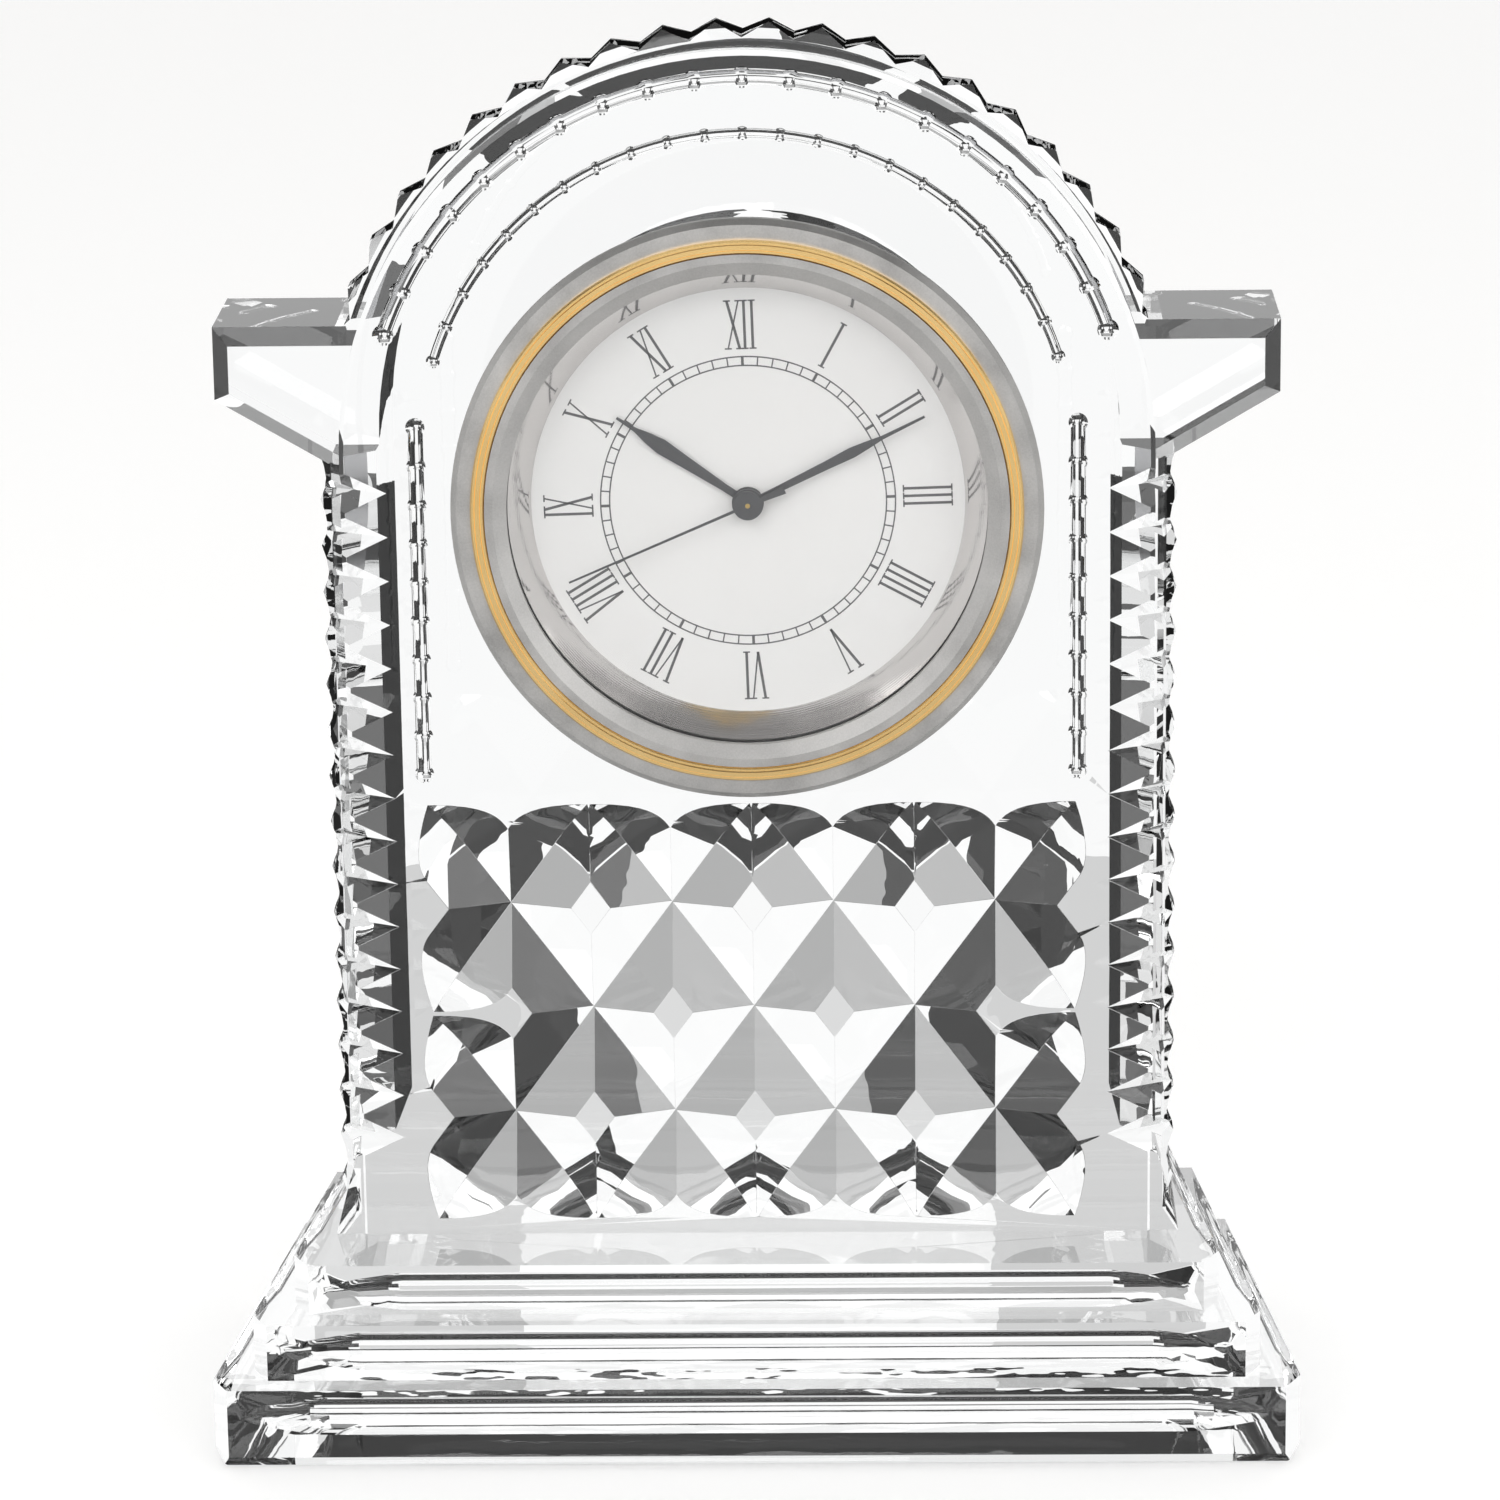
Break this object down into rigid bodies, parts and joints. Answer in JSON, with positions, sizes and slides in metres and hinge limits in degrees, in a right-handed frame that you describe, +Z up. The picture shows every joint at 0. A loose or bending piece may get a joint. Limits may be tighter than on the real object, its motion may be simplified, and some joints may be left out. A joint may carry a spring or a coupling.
{
  "type": "crystal carriage clock",
  "caption": "Arched crystal clock with a toothed rim, ears, diamond panel and stepped base, and a round pull-out quartz clock with roman numerals.",
  "frame": {"origin": "middle of the underside, which rests on the table", "axes": "+Z up, -Y towards the viewer of the dial, +X to that viewer's right"},
  "size_m": [0.1344, 0.0606, 0.1757],
  "materials": {
    "crystal": "clear, polished",
    "lens_glass": "clear, polished",
    "satin_silver": "satin",
    "gold": "polished gold plate",
    "polished_silver": "polished",
    "dial_white": "matt lacquer",
    "hand_grey": "satin lacquer",
    "brass_train": "machined",
    "white_plastic": "moulded",
    "black_plastic": "moulded",
    "rubber": "matt",
    "steel": "machined",
    "copper_coil": "enamelled wire",
    "board_green": "solder mask",
    "magnet": "sintered"
  },
  "bodies": {
    "crystal": {"crystal_body": "crystal"},
    "insert": {"bezel_flange": "satin_silver", "gold_ring": "gold", "inner_ring": "satin_silver", "lens": "lens_glass", "lens_gasket": "rubber", "dial_surround": "polished_silver", "dial": "dial_white", "case_cup": "steel", "grip_ring": "rubber", "movement_holder": "white_plastic", "main_plate": "white_plastic", "rear_bridge": "white_plastic", "movement_screws": "steel", "stator": "steel", "coil_core": "steel", "coil": "copper_coil", "circuit_board": "board_green", "timing_chip": "black_plastic", "quartz_can": "steel", "plus_contact": "brass_train", "minus_contact": "brass_train", "battery": "steel"},
    "hour": {"hour_hand": "hand_grey", "hour_wheel": "brass_train"},
    "minute": {"minute_hand": "hand_grey", "cannon_pinion": "brass_train"},
    "second": {"second_hand": "hand_grey", "second_wheel": "brass_train"},
    "centre": {"centre_wheel": "brass_train"},
    "third": {"third_wheel": "brass_train"},
    "intermediate": {"intermediate_wheel": "white_plastic"},
    "rotor_body": {"rotor": "magnet"},
    "minute_work": {"minute_wheel": "brass_train"},
    "setting": {"setting_stem": "steel", "setting_knob": "black_plastic"},
    "cap": {"battery_cap": "black_plastic"}
  },
  "joints": [
    {"name": "insert_pull", "type": "slide", "parent": "crystal", "child": "insert", "axis": [0, -1, 0], "range_m": [0, 0.022]},
    {"name": "minute_hand_turn", "type": "hinge", "parent": "insert", "child": "minute", "pos_m": [0, -0.0115, 0.117], "axis": [0, 1, 0], "continuous": true},
    {"name": "hour_hand_turn", "type": "hinge", "parent": "insert", "child": "hour", "pos_m": [0, -0.0115, 0.117], "axis": [0, 1, 0], "continuous": true},
    {"name": "minute_wheel_turn", "type": "hinge", "parent": "insert", "child": "minute_work", "pos_m": [0.003, -0.0115, 0.1222], "axis": [0, 1, 0], "continuous": true},
    {"name": "setting_knob_turn", "type": "hinge", "parent": "insert", "child": "setting", "pos_m": [0.00404, -0.0115, 0.1281], "axis": [0, 1, 0], "continuous": true},
    {"name": "second_hand_turn", "type": "hinge", "parent": "insert", "child": "second", "pos_m": [0, -0.0115, 0.117], "axis": [0, 1, 0], "continuous": true},
    {"name": "third_wheel_turn", "type": "hinge", "parent": "insert", "child": "third", "pos_m": [-0.0053, -0.0115, 0.12006], "axis": [0, 1, 0], "continuous": true},
    {"name": "centre_wheel_turn", "type": "hinge", "parent": "insert", "child": "centre", "pos_m": [0, -0.0115, 0.117], "axis": [0, 1, 0], "continuous": true},
    {"name": "intermediate_wheel_turn", "type": "hinge", "parent": "insert", "child": "intermediate", "pos_m": [0.00546, -0.0115, 0.12015], "axis": [0, 1, 0], "continuous": true},
    {"name": "rotor_turn", "type": "hinge", "parent": "insert", "child": "rotor_body", "pos_m": [0.00906, -0.0115, 0.11884], "axis": [0, 1, 0], "continuous": true},
    {"name": "battery_cap_turn", "type": "hinge", "parent": "insert", "child": "cap", "pos_m": [-0.0095, -0.0115, 0.1045], "axis": [0, 1, 0], "range_deg": [0, 60]}
  ],
  "couplings": [
    {"joint": "hour_hand_turn", "follows": "minute_hand_turn", "ratio": 0.083333},
    {"joint": "minute_wheel_turn", "follows": "minute_hand_turn", "ratio": -0.33333},
    {"joint": "setting_knob_turn", "follows": "minute_hand_turn", "ratio": 1},
    {"joint": "third_wheel_turn", "follows": "second_hand_turn", "ratio": -0.13333},
    {"joint": "centre_wheel_turn", "follows": "second_hand_turn", "ratio": 0.016667},
    {"joint": "intermediate_wheel_turn", "follows": "second_hand_turn", "ratio": -6},
    {"joint": "rotor_turn", "follows": "second_hand_turn", "ratio": 30}
  ]
}
